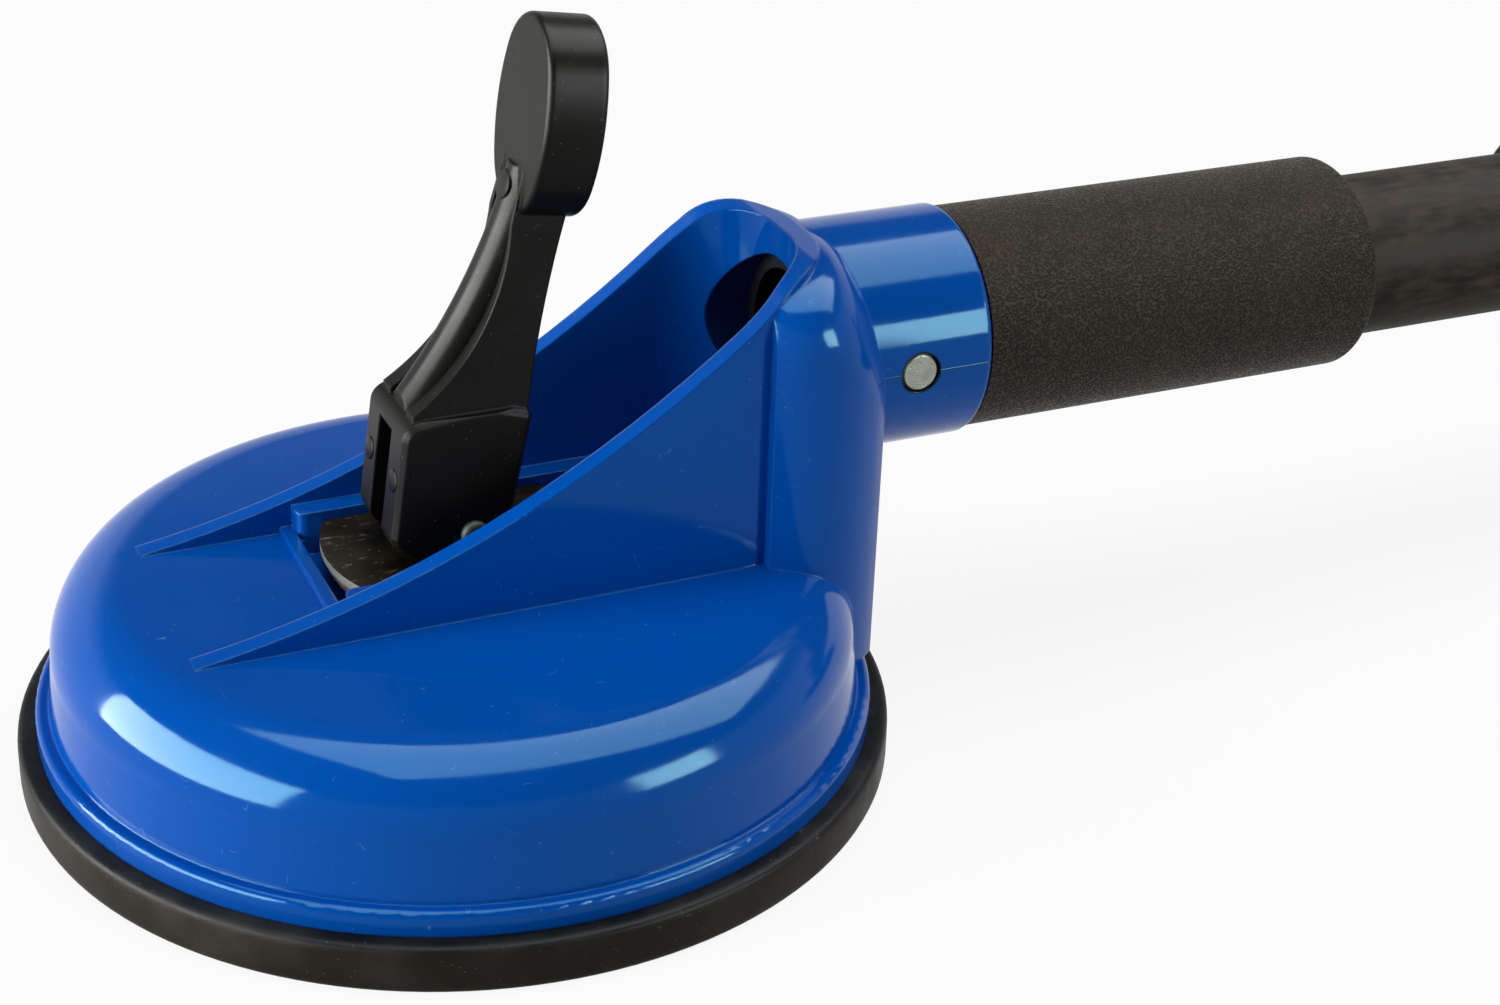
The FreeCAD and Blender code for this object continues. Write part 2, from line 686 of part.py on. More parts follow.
def lever(name, head):
    """Moulded cam lever: forked foot, ribbed shank and oval thumb pad."""
    body = new_body(name, head)
    body.Placement.Base.z = value(PIN_HEIGHT)
    bind(body, "Placement.Base.z", PIN_HEIGHT)

    ridge = new_sketch(body, name + "_ridge", "XZ_Plane")
    outline(ridge,
            ("-ridge_front", "shank_foot_height"),
            ("fork_crown", "shank_foot_height"),
            ("ridge_neck + ridge_depth", "ridge_neck_height"),
            ("ridge_neck", "ridge_neck_height"),
            ("-ridge_front", "ridge_front_height", "ridge_curve", "right"))
    extrude(body, "Pad", ridge, "ridge_half_width + ridge_half_width", both_ways=True)
    dress(body, "Fillet", "ridge_round", arc_of("ridge_curve"))

    fork = new_sketch(body, name + "_fork", "XZ_Plane")
    sole = "cam_clearance - pin_above_plate"
    outline(fork,
            ("-cam_flat", sole, "cam_round", "left"),
            ("fork_heel_foot", sole),
            ("fork_heel", "fork_heel_height"),
            ("fork_back", "fork_back_height"),
            ("fork_crown", "fork_crown_height"),
            ("-fork_brow", "fork_brow_height"),
            ("-fork_front", "fork_front_height", "fork_front_round", "left"),
            ("-fork_side", "fork_side_foot"))
    extrude(body, "Pad", fork, "fork_half_width + fork_half_width", both_ways=True)
    dress(body, "Chamfer", "fork_edge_break", along_side("fork_half_width"))

    web = new_sketch(body, name + "_web", "XZ_Plane")
    shank_side(web, "gutter_foot", "gutter_foot_height", "gutter_neck", "gutter_neck_height", "gutter_curve")
    extrude(body, "Pad", web, "shank_half_width + shank_half_width", both_ways=True)
    for way, inner_face in (("near", "gutter_half_width"), ("far", "-gutter_half_width")):
        flange = new_sketch(body, name + "_" + way + "_flange", "XZ_Plane", inner_face)
        shank_side(flange, "shank_front", "shank_front_height", "shank_neck", "shank_neck_height",
                   "shank_front_curve")
        extrude(body, "Pad", flange, "shank_half_width - gutter_half_width", backwards=way == "far")

    sides = new_sketch(body, name + "_tapered_sides", "YZ_Plane")
    for half_width, neck, beyond in (
            ("shank_half_width", "neck_half_width", "shank_half_width + neck_half_width"),
            ("-shank_half_width", "-neck_half_width", "-shank_half_width - neck_half_width")):
        outline(sides,
                (half_width, "shank_taper_foot"),
                (beyond, "shank_taper_foot"),
                (beyond, "shank_brow_height"),
                (neck, "shank_brow_height"))
    extrude(body, "Pocket", sides, None, both_ways=True)

    thumb = new_sketch(body, name + "_thumb", "YZ_Plane")
    thumb.AttachmentOffset = FreeCAD.Placement(V(0, value("thumb_height"), value("thumb_place")),
                                               FreeCAD.Rotation(V(1, 0, 0), value("thumb_lean")))
    bind(thumb, "AttachmentOffset.Base.y", "thumb_height")
    bind(thumb, "AttachmentOffset.Base.z", "thumb_place")
    bind(thumb, "AttachmentOffset.Rotation.Angle", "thumb_lean")
    outline(thumb,
            ("thumb_half_width", "thumb_side_reach", "thumb_side_curve", "left"),
            ("-thumb_half_width", "thumb_side_reach", "thumb_end_curve", "left"),
            ("-thumb_half_width", "-thumb_side_reach", "thumb_side_curve", "left"),
            ("thumb_half_width", "-thumb_side_reach", "thumb_end_curve", "left"))
    extrude(body, "Pad", thumb, "thumb_thickness")
    above_shank = value("thumb_height - thumb_side_reach")
    rim = arc_of("thumb_side_curve", "thumb_end_curve")
    dress(body, "Fillet", "thumb_rim_round",
          lambda edge: rim(edge) and edge.CenterOfMass.z > above_shank)

    slot = new_sketch(body, name + "_slot", "XZ_Plane")
    outline(slot,
            ("slot_back", "-fork_side"),
            ("slot_back", "slot_top"),
            ("-fork_side - slot_back", "slot_top"),
            ("-fork_side - slot_back", "-fork_side"))
    extrude(body, "Pocket", slot, "slot_half_width + slot_half_width", both_ways=True)

    hole = new_sketch(body, name + "_pin_hole", "XZ_Plane")
    circle(hole, "0", "0", "lever_pin_radius + pin_fit")
    extrude(body, "Pocket", hole, None, both_ways=True)
    return body


def along_side(half_width):
    """A rule: edges that lie in a side face this far from the middle plane."""
    def choose(edge):
        return all(near(abs(vertex.Y), half_width) for vertex in edge.Vertexes)
    return choose


def arc_of(*radii):
    """A rule: arcs of one of these radii."""
    def choose(edge):
        return isinstance(edge.Curve, Part.Circle) and any(near(edge.Curve.Radius, r) for r in radii)
    return choose


def grip_sleeve(name, head):
    """Thick moulded grip pushed over the tube, rounded at its free end."""
    body = new_body(name, head)
    section = new_sketch(body, name + "_section", "YZ_Plane", "socket_mouth + sleeve_gap")
    circle(section, "0", "bar_height", "sleeve_radius")
    circle(section, "0", "bar_height", "tube_radius + tube_fit")
    extrude(body, "Pad", section, "sleeve_length")
    dress(body, "Fillet", "sleeve_end_round",
          ring_across("sleeve_radius", "socket_mouth + sleeve_gap + sleeve_length"))
    return body


def handle_tube(name):
    """Tube from head to head, pinned in both sockets."""
    body = new_body(name, 0)
    section = new_sketch(body, name + "_section", "YZ_Plane")
    circle(section, "0", "bar_height", "tube_radius")
    circle(section, "0", "bar_height", "tube_radius - tube_wall")
    reach = "head_spacing/2 - socket_mouth + tube_insert"
    extrude(body, "Pad", section, reach + " + " + reach, both_ways=True)
    holes = new_sketch(body, name + "_pin_holes", "XZ_Plane")
    for way in ("head_spacing/2 - socket_pin_place", "socket_pin_place - head_spacing/2"):
        circle(holes, way, "bar_height", "socket_pin_radius + pin_fit")
    extrude(body, "Pocket", holes, None, both_ways=True)
    return body


def export():
    document.recompute()
    for thing in document.Objects:
        if "Invalid" in thing.State or "Error" in thing.State:
            raise RuntimeError("%s is in state %s" % (thing.Label, thing.State))
    os.makedirs("parts", exist_ok=True)
    for piece in pieces:
        if piece.Shape.isNull() or not piece.Shape.isValid():
            raise RuntimeError("%s has no valid shape" % piece.Label)
        piece.Shape.exportStep("parts/%s.step" % piece.Label)
        print("%-28s %9.1f mm3, %d solid" % (piece.Label, piece.Shape.Volume, len(piece.Shape.Solids)))


pieces = []
for side, head in (("left", -1), ("right", 1)):
    pieces += [
        housing(side + "_housing", head),
        suction_pad(side + "_suction_pad", head),
        wear_plate(side + "_lower_wear_plate", head, "dome_height", "lower_plate_thickness",
                   " - lower_plate_inset"),
        wear_plate(side + "_upper_wear_plate", head, "dome_height + lower_plate_thickness",
                   "upper_plate_thickness", ""),
        backing_plate(side + "_backing_plate", head),
        draw_stem(side + "_draw_stem", head),
        lock_nut(side + "_lock_nut", head),
        lever(side + "_lever", head),
        cross_pin(side + "_lever_pin", head, "0", PIN_HEIGHT, "lever_pin_radius",
                  "fork_half_width + lever_pin_overhang", "lever_pin_round", "Fillet"),
        cross_pin(side + "_socket_pin", head, "socket_pin_place", "bar_height", "socket_pin_radius",
                  "socket_pin_end", "socket_pin_break", "Chamfer"),
        grip_sleeve(side + "_grip_sleeve", head),
    ]
pieces.append(handle_tube("handle_tube"))
export()
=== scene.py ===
import math

import bmesh
import bpy
from mathutils import Matrix, Vector


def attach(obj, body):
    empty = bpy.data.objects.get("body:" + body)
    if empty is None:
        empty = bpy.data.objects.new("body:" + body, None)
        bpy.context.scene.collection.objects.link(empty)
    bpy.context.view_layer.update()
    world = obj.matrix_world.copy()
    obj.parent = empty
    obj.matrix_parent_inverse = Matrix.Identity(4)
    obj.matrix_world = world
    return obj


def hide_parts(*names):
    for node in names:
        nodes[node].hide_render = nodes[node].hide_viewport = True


# Floor tile suction lifter: the finish of its moulded heads, cam levers, grips and bar, with the
# rubber pads and the levers' ejector marks modelled as their own pieces. Lengths are written in
# millimetres and turned to metres by MM, apart from those of the lamps, which are in metres.

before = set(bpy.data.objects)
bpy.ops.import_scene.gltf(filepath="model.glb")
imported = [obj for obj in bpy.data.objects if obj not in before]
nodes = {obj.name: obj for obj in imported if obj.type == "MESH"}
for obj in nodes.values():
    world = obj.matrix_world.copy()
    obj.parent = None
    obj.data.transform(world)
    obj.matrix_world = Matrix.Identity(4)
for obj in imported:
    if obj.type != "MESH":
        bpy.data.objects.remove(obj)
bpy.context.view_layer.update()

MM = 0.001
X, Z = 0, 2
WAYS = {"left": -1, "right": 1}


def box_of(name):
    """The low and the high corner of a solid's box in millimetres, to a tenth, as the facets of a
    round solid fall a little short of its size."""
    sides = [sorted(corner[axis] for corner in nodes[name].bound_box) for axis in range(3)]
    low = [round(side[0] / MM, 1) for side in sides]
    high = [round(side[-1] / MM, 1) for side in sides]
    return low, high


# Places and sizes that the finishes and pieces follow. Both heads are alike, so they are read
# from the right one, where x is the distance from the lifter's middle.
housing_low = box_of("right_housing")[0]
pad_low, pad_high = box_of("right_suction_pad")
pin_low, pin_high = box_of("right_socket_pin")
tube_low, tube_high = box_of("handle_tube")
HEAD_PLACE = (pad_low[X] + pad_high[X]) / 2
PAD_RADIUS = (pad_high[X] - pad_low[X]) / 2
PAD_HEIGHT = pad_high[Z]
SOCKET_PIN_PLACE = (pin_low[X] + pin_high[X]) / 2
SOCKET_PIN_RADIUS = (pin_high[X] - pin_low[X]) / 2
SOCKET_MOUTH = housing_low[X]
BAR_HEIGHT = (tube_low[Z] + tube_high[Z]) / 2
TUBE_RADIUS = (tube_high[Z] - tube_low[Z]) / 2

# The height of the pad's thin middle, how far the parting line runs along the socket from its
# mouth, and how far into the mouth the tube is still seen before it is painted in shade
WEB_HEIGHT = 4.0
SEAM_LENGTH = 18.1
TUBE_SHOWS = 1.6

# Ejector marks on a lever: place, facing and radius. Places and facings are measured from the
# middle of the head towards the bar, to the left of the bar and upwards.
EJECTOR_MARKS = {
    "fork_mark_near": ((-10.16, -5.2, 43.0), (-0.99, 0, 0.137), 1.6),
    "fork_mark_far": ((-10.16, 5.2, 43.0), (-0.99, 0, 0.137), 1.6),
    "thumb_mark": ((7.3, 0.25, 79.9), (-0.95, 0, 0.30), 2.0),
}
MARK_PROUD = 0.15
MARK_HALF_DEPTH = 0.5

# The view: angles in degrees, and what it looks at, measured from the left head
VIEW_TURN = 25.21
VIEW_FALL = 27.49
VIEW_ROLL = 2.2
VIEW_DISTANCE = 363.99
VIEW_AIM = (43.78, 0, 27.4)
LENS = 61.22
SENSOR = 36

# The setting with which a mix node mixes colours
COLOURS = {"data_type": "RGBA"}


# ---------------------------------------------------------------- colours and nodes

def colour(hex_value):
    """An sRGB hex value as linear red, green, blue and alpha."""
    channels = [int(hex_value[i:i + 2], 16) / 255 for i in (1, 3, 5)]
    return tuple(c / 12.92 if c <= 0.04045 else ((c + 0.055) / 1.055) ** 2.4 for c in channels) + (1.0,)


def add_node(tree, kind, settings=None, **links):
    """One shader node. Settings are its own properties, and links are its inputs by name or by
    number after an underscore: a node is joined by its first output, a socket is joined, and
    anything else is set as the value."""
    node = tree.nodes.new(kind)
    for name, setting in (settings or {}).items():
        setattr(node, name, setting)
    for name, source in links.items():
        socket = node.inputs[int(name[1:])] if name[1:].isdigit() else node.inputs[name.replace("_", " ")]
        if isinstance(source, bpy.types.Node):
            source = source.outputs[0]
        if isinstance(source, bpy.types.NodeSocket):
            tree.links.new(source, socket)
        else:
            socket.default_value = source
    return node


def new_material(name, **sockets):
    """A node material with its Principled shader, whose even values are set directly."""
    material = bpy.data.materials.new(name)
    material.use_nodes = True
    shader = material.node_tree.nodes["Principled BSDF"]
    for socket, value in sockets.items():
        shader.inputs[socket.replace("_", " ")].default_value = value
    return material, material.node_tree, shader


def join_finish(tree, shader, paint, roughness, relief=None):
    """Joins a finish's colour, roughness and relief to its shader."""
    tree.links.new(paint.outputs[2], shader.inputs["Base Color"])
    tree.links.new(roughness.outputs[0], shader.inputs["Roughness"])
    if relief is not None:
        tree.links.new(relief.outputs[0], shader.inputs["Normal"])


def in_millimetres(tree):
    """The place of a point on its piece, in millimetres."""
    place = add_node(tree, "ShaderNodeTexCoord")
    return add_node(tree, "ShaderNodeMapping", Vector=place.outputs["Object"],
                    Scale=(1 / MM, 1 / MM, 1 / MM))


def outwards(tree, parts):
    """How far a point is from the lifter's middle along the bar."""
    return add_node(tree, "ShaderNodeMath", {"operation": "ABSOLUTE"}, _0=parts.outputs["X"])


def from_bar(tree, parts):
    """How far a point is from the bar's middle line."""
    across = add_node(tree, "ShaderNodeCombineXYZ", Y=parts.outputs["Y"], Z=parts.outputs["Z"])
    reach = add_node(tree, "ShaderNodeVectorMath", {"operation": "DISTANCE"},
                     _0=across, _1=(0, 0, BAR_HEIGHT))
    return reach.outputs["Value"]


def dusted(tree, place, paint, dust, share, spacing, size):
    """A colour under dust: pale specks, that far apart and that big, and short curled lint."""
    curl_size, tuft_size = 4, 2.3
    cells = add_node(tree, "ShaderNodeTexVoronoi", Vector=place, Scale=1 / spacing)
    specks = add_node(tree, "ShaderNodeMapRange", Value=cells,
                      From_Min=size / spacing, From_Max=0.6 * size / spacing)
    curls = add_node(tree, "ShaderNodeTexNoise", Vector=place, Scale=1 / curl_size, Detail=1.0,
                     Distortion=0.5)
    off_line = add_node(tree, "ShaderNodeMath", {"operation": "SUBTRACT"}, _0=curls, _1=0.5)
    off_line = add_node(tree, "ShaderNodeMath", {"operation": "ABSOLUTE"}, _0=off_line)
    line = add_node(tree, "ShaderNodeMapRange", Value=off_line, From_Min=0.006, From_Max=0.001, To_Max=0.6)
    tufts = add_node(tree, "ShaderNodeTexNoise", Vector=place, Scale=1 / tuft_size, Detail=0.0)
    tufts = add_node(tree, "ShaderNodeMapRange", Value=tufts, From_Min=0.72, From_Max=0.75)
    lint = add_node(tree, "ShaderNodeMath", {"operation": "MULTIPLY"}, _0=line, _1=tufts)
    both = add_node(tree, "ShaderNodeMath", {"operation": "MAXIMUM"}, _0=specks, _1=lint)
    thin = add_node(tree, "ShaderNodeMath", {"operation": "MULTIPLY"}, _0=both, _1=share)
    return add_node(tree, "ShaderNodeMix", COLOURS, _0=thin, _6=paint, _7=colour(dust))


# ---------------------------------------------------------------- finishes

def pin_ring(tree, parts):
    """Painted shade: a thin dark ring round a socket pin, where the gap round it lies in shade."""
    side = add_node(tree, "ShaderNodeCombineXYZ", X=outwards(tree, parts), Z=parts.outputs["Z"])
    from_pin = add_node(tree, "ShaderNodeVectorMath", {"operation": "DISTANCE"},
                        _0=side, _1=(SOCKET_PIN_PLACE, 0, BAR_HEIGHT))
    return add_node(tree, "ShaderNodeMapRange", Value=from_pin.outputs["Value"],
                    From_Min=SOCKET_PIN_RADIUS + 0.35, From_Max=SOCKET_PIN_RADIUS + 0.2)


def parting_line(tree, parts):
    """The mould's parting line, along both sides of the socket's barrel."""
    above_bar = add_node(tree, "ShaderNodeMath", {"operation": "SUBTRACT"},
                         _0=parts.outputs["Z"], _1=BAR_HEIGHT)
    above_bar = add_node(tree, "ShaderNodeMath", {"operation": "ABSOLUTE"}, _0=above_bar)
    line = add_node(tree, "ShaderNodeMapRange", Value=above_bar, From_Min=0.16, From_Max=0.06)
    on_barrel = add_node(tree, "ShaderNodeMath", {"operation": "LESS_THAN"},
                         _0=outwards(tree, parts), _1=SOCKET_MOUTH + SEAM_LENGTH)
    return add_node(tree, "ShaderNodeMath", {"operation": "MULTIPLY"}, _0=line, _1=on_barrel)


def moulded_abs():
    """Injection-moulded ABS, glossy from a polished mould: deep blue, mirror-like over a very
    slight waviness, its gloss tinted by the pigment, with sharp bright edges, a mould parting
    line along the socket, a ring of painted shade round the pin, painted shade in the bore, and
    a little dust and lint."""
    flow_size, smudge_size, wave_size, edge_round = 35, 14, 11, 0.45
    material, tree, shader = new_material("glossy_blue_abs", IOR=1.5, Specular_IOR_Level=0.16,
                                          Specular_Tint=(0.4, 0.95, 1.0, 1.0))
    place = in_millimetres(tree)
    parts = add_node(tree, "ShaderNodeSeparateXYZ", Vector=place)
    flow = add_node(tree, "ShaderNodeTexNoise", Vector=place, Scale=1 / flow_size, Detail=2.0)
    paint = add_node(tree, "ShaderNodeMix", COLOURS, _0=flow, _6=colour("#004BA2"), _7=colour("#004398"))
    # Painted shade: the bore round the bar is painted dark navy, where it lies in shade.
    bore = add_node(tree, "ShaderNodeMath", {"operation": "LESS_THAN"},
                    _0=from_bar(tree, parts), _1=TUBE_RADIUS + 0.2)
    paint = add_node(tree, "ShaderNodeMix", COLOURS, _0=bore, _6=paint.outputs[2], _7=colour("#152858"))
    seam = parting_line(tree, parts)
    faint_seam = add_node(tree, "ShaderNodeMath", {"operation": "MULTIPLY"}, _0=seam, _1=0.6)
    # Painted shade round the socket pin, together with the dark parting line.
    pin_shade_and_seam = add_node(tree, "ShaderNodeMath", {"operation": "MAXIMUM"},
                     _0=pin_ring(tree, parts), _1=faint_seam)
    paint = add_node(tree, "ShaderNodeMix", COLOURS, _0=pin_shade_and_seam, _6=paint.outputs[2], _7=colour("#020814"))
    paint = dusted(tree, place, paint.outputs[2], "#86ACD8", share=0.4, spacing=2.6, size=0.12)

    smudges = add_node(tree, "ShaderNodeTexNoise", Vector=place, Scale=1 / smudge_size, Detail=4.0)
    roughness = add_node(tree, "ShaderNodeMapRange", Value=smudges,
                         From_Min=0.35, From_Max=0.75, To_Min=0.07, To_Max=0.16)

    rounded = add_node(tree, "ShaderNodeBevel", {"samples": 6}, Radius=edge_round * MM)
    waves = add_node(tree, "ShaderNodeTexNoise", Vector=place, Scale=1 / wave_size, Detail=1.0)
    wavy = add_node(tree, "ShaderNodeBump", Strength=0.35, Distance=0.08 * MM, Height=waves,
                    Normal=rounded)
    raised = add_node(tree, "ShaderNodeBump", Strength=0.6, Distance=0.06 * MM, Height=seam, Normal=wavy)
    join_finish(tree, shader, paint, roughness, raised)
    return material


def moulded_nylon():
    """Glass-filled nylon from a fine-eroded mould: black with a satin sheen that is broken by
    the fibres, and dusted."""
    # The real fibre grain is about 0.1 mm: it is drawn at 0.35 mm, so that it shows.
    fibre_size, patch_size, edge_round = 0.35, 12, 0.5
    material, tree, shader = new_material("satin_black_nylon", IOR=1.53, Specular_IOR_Level=0.08)
    place = in_millimetres(tree)
    paint = dusted(tree, place, colour("#0B0A07"), "#7C7972", share=0.45, spacing=1.5, size=0.11)
    patches = add_node(tree, "ShaderNodeTexNoise", Vector=place, Scale=1 / patch_size, Detail=3.0)
    roughness = add_node(tree, "ShaderNodeMapRange", Value=patches,
                         From_Min=0.3, From_Max=0.7, To_Min=0.3, To_Max=0.44)
    rounded = add_node(tree, "ShaderNodeBevel", {"samples": 6}, Radius=edge_round * MM)
    fibres = add_node(tree, "ShaderNodeTexNoise", Vector=place, Scale=1 / fibre_size, Detail=2.0)
    grain = add_node(tree, "ShaderNodeBump", Strength=0.25, Distance=0.02 * MM, Height=fibres,
                     Normal=rounded)
    join_finish(tree, shader, paint, roughness, grain)
    return material


def nitrile_rubber():
    """Moulded nitrile rubber: dull blue-black on top, worn to a warm dark grey round the rim,
    and full of fine dust that clings to it."""
    cloud_size, pore_size = 9, 0.5
    material, tree, shader = new_material("nitrile_rubber", IOR=1.52, Specular_IOR_Level=0.07)
    place = in_millimetres(tree)
    parts = add_node(tree, "ShaderNodeSeparateXYZ", Vector=place)
    rim = add_node(tree, "ShaderNodeMapRange", Value=parts.outputs["Z"],
                   From_Min=PAD_HEIGHT - 0.2, From_Max=PAD_HEIGHT - 1.1)
    paint = add_node(tree, "ShaderNodeMix", COLOURS, _0=rim, _6=colour("#06080C"), _7=colour("#17130B"))
    cloud = add_node(tree, "ShaderNodeTexNoise", Vector=place, Scale=1 / cloud_size, Detail=5.0)
    cloud = add_node(tree, "ShaderNodeMapRange", Value=cloud, From_Min=0.45, From_Max=0.75, To_Max=0.25)
    paint = add_node(tree, "ShaderNodeMix", COLOURS, _0=cloud, _6=paint.outputs[2], _7=colour("#35342F"))
    paint = dusted(tree, place, paint.outputs[2], "#7C7E7C", share=0.4, spacing=1.2, size=0.10)
    roughness = add_node(tree, "ShaderNodeMapRange", Value=cloud, From_Max=0.25, To_Min=0.42, To_Max=0.62)
    skin = add_node(tree, "ShaderNodeTexNoise", Vector=place, Scale=1 / pore_size, Detail=3.0)
    pores = add_node(tree, "ShaderNodeBump", Strength=0.4, Distance=0.04 * MM, Height=skin)
    join_finish(tree, shader, paint, roughness, pores)
    return material


def grained_grip():
    """Moulded rigid grip with a coarse spark-eroded grain: dull black, with the tops of the
    grain rubbed shiny and painted paler as a painted highlight, so that it sparkles."""
    # The real grain is about 0.2 mm: it is drawn at 0.36 and 0.3 mm, so that it shows.
    pit_size, grit_size, wear_size = 0.36, 0.3, 13
    material, tree, shader = new_material("grained_black_grip", IOR=1.5, Specular_IOR_Level=0.06)
    place = in_millimetres(tree)
    pits = add_node(tree, "ShaderNodeTexVoronoi", Vector=place, Scale=1 / pit_size)
    grit = add_node(tree, "ShaderNodeTexNoise", Vector=place, Scale=1 / grit_size, Detail=2.0,
                    Roughness=0.7)
    height = add_node(tree, "ShaderNodeMath", {"operation": "ADD"}, _0=pits, _1=grit)
    wear = add_node(tree, "ShaderNodeTexNoise", Vector=place, Scale=1 / wear_size, Detail=4.0)
    wear = add_node(tree, "ShaderNodeMapRange", Value=wear, From_Min=0.35, From_Max=0.7)
    tops = add_node(tree, "ShaderNodeMapRange", Value=height, From_Min=0.95, From_Max=1.25, To_Max=0.5)
    paint = add_node(tree, "ShaderNodeMix", COLOURS, _0=wear, _6=colour("#120F0A"), _7=colour("#1E1911"))
    # Painted highlight: the tops of the grain are painted paler, so that they sparkle.
    paint = add_node(tree, "ShaderNodeMix", COLOURS, _0=tops, _6=paint.outputs[2], _7=colour("#4F4738"))
    roughness = add_node(tree, "ShaderNodeMapRange", Value=tops, From_Max=0.5, To_Min=0.5, To_Max=0.3)
    grain = add_node(tree, "ShaderNodeBump", Strength=1.0, Distance=0.22 * MM, Height=height)
    join_finish(tree, shader, paint, roughness, grain)
    return material


def coated_tube():
    """Steel tube with a black baked coat, mottled and rubbed brown-grey along its length by
    hands and by the grips, with painted shade inside it and where the sockets cover it."""
    mottle_size, streak_width, streak_stretch = 7, 1.1, 0.22
    material, tree, shader = new_material("scuffed_black_tube", IOR=1.5, Specular_IOR_Level=0.07)
    place = in_millimetres(tree)
    parts = add_node(tree, "ShaderNodeSeparateXYZ", Vector=place)
    mottle = add_node(tree, "ShaderNodeTexNoise", Vector=place, Scale=1 / mottle_size, Detail=6.0,
                      Roughness=0.65)
    rubbed = add_node(tree, "ShaderNodeMapping", Vector=place, Scale=(streak_stretch, 1.0, 1.0))
    streaks = add_node(tree, "ShaderNodeTexNoise", Vector=rubbed, Scale=1 / streak_width, Detail=4.0)
    worn = add_node(tree, "ShaderNodeMath", {"operation": "MULTIPLY"}, _0=mottle, _1=streaks)
    worn = add_node(tree, "ShaderNodeMapRange", Value=worn, From_Min=0.18, From_Max=0.46)
    paint = add_node(tree, "ShaderNodeMix", COLOURS, _0=worn, _6=colour("#0C0A07"), _7=colour("#3D3528"))
    # Painted shade: the inside and the ends of the tube are painted near black.
    outside = add_node(tree, "ShaderNodeMapRange", Value=from_bar(tree, parts),
                       From_Min=TUBE_RADIUS - 0.2, From_Max=TUBE_RADIUS - 0.05)
    paint = add_node(tree, "ShaderNodeMix", COLOURS, _0=outside, _6=colour("#04060C"), _7=paint.outputs[2])
    # Painted shade: past the socket's mouth, where the socket hides it, the tube is painted near black.
    socket_shade = add_node(tree, "ShaderNodeMath", {"operation": "GREATER_THAN"},
                       _0=outwards(tree, parts), _1=SOCKET_MOUTH + TUBE_SHOWS)
    paint = add_node(tree, "ShaderNodeMix", COLOURS, _0=socket_shade, _6=paint.outputs[2], _7=colour("#04060C"))
    roughness = add_node(tree, "ShaderNodeMapRange", Value=worn, To_Min=0.5, To_Max=0.72)
    dents = add_node(tree, "ShaderNodeBump", Strength=0.3, Distance=0.05 * MM, Height=streaks)
    join_finish(tree, shader, paint, roughness, dents)
    return material


def stamped_steel():
    """Hot-rolled mild steel, stamped: dark brown-grey scale on the flat, brighter on the sheared
    edge, rubbed in streaks by the cam and specked with rust."""
    scale_size, rub_angle, rub_stretch = 3, 12, (0.6, 1.4, 1.0)
    material, tree, shader = new_material("dark_stamped_steel", Metallic=1.0)
    place = in_millimetres(tree)
    scale = add_node(tree, "ShaderNodeTexNoise", Vector=place, Scale=1 / scale_size, Detail=5.0,
                     Roughness=0.6)
    paint = add_node(tree, "ShaderNodeMix", COLOURS, _0=scale, _6=colour("#0D0B07"), _7=colour("#292419"))
    along_cam = add_node(tree, "ShaderNodeMapping", Vector=place,
                         Rotation=(0, 0, math.radians(rub_angle)), Scale=rub_stretch)
    rubs = add_node(tree, "ShaderNodeTexNoise", Vector=along_cam, Scale=1.0, Detail=3.0)
    rubs = add_node(tree, "ShaderNodeMapRange", Value=rubs, From_Min=0.62, From_Max=0.8, To_Max=0.3)
    paint = add_node(tree, "ShaderNodeMix", COLOURS, _0=rubs, _6=paint.outputs[2], _7=colour("#A8A496"))
    paint = dusted(tree, place, paint.outputs[2], "#8A6A42", share=0.55, spacing=1.7, size=0.16)
    facing = add_node(tree, "ShaderNodeTexCoord")
    facing = add_node(tree, "ShaderNodeSeparateXYZ", Vector=facing.outputs["Normal"])
    level = add_node(tree, "ShaderNodeMath", {"operation": "ABSOLUTE"}, _0=facing.outputs["Z"])
    edge = add_node(tree, "ShaderNodeMapRange", Value=level, From_Min=0.8, From_Max=0.3)
    paint = add_node(tree, "ShaderNodeMix", COLOURS, _0=edge, _6=paint.outputs[2], _7=colour("#5C5C56"))
    roughness = add_node(tree, "ShaderNodeMapRange", Value=scale, To_Min=0.36, To_Max=0.55)
    pits = add_node(tree, "ShaderNodeBump", Strength=0.3, Distance=0.05 * MM, Height=scale)
    join_finish(tree, shader, paint, roughness, pits)
    return material


def zinc_plated_steel():
    """Zinc-plated steel: pale grey and satin, with the small pits of a cropped end."""
    pit_spacing, cloud_size = 0.7, 1.5
    material, tree, shader = new_material("zinc_plated_steel", Metallic=1.0)
    place = in_millimetres(tree)
    cells = add_node(tree, "ShaderNodeTexVoronoi", Vector=place, Scale=1 / pit_spacing)
    pitted = add_node(tree, "ShaderNodeMapRange", Value=cells, From_Min=0.26, From_Max=0.14)
    cloud = add_node(tree, "ShaderNodeTexNoise", Vector=place, Scale=1 / cloud_size, Detail=4.0)
    paint = add_node(tree, "ShaderNodeMix", COLOURS, _0=cloud, _6=colour("#6C7169"), _7=colour("#90958A"))
    paint = add_node(tree, "ShaderNodeMix", COLOURS, _0=pitted, _6=paint.outputs[2], _7=colour("#62665F"))
    roughness = add_node(tree, "ShaderNodeMapRange", Value=cloud, To_Min=0.28, To_Max=0.46)
    dimples = add_node(tree, "ShaderNodeBump", {"invert": True}, Strength=0.5, Distance=0.05 * MM,
                       Height=pitted)
    join_finish(tree, shader, paint, roughness, dimples)
    return material


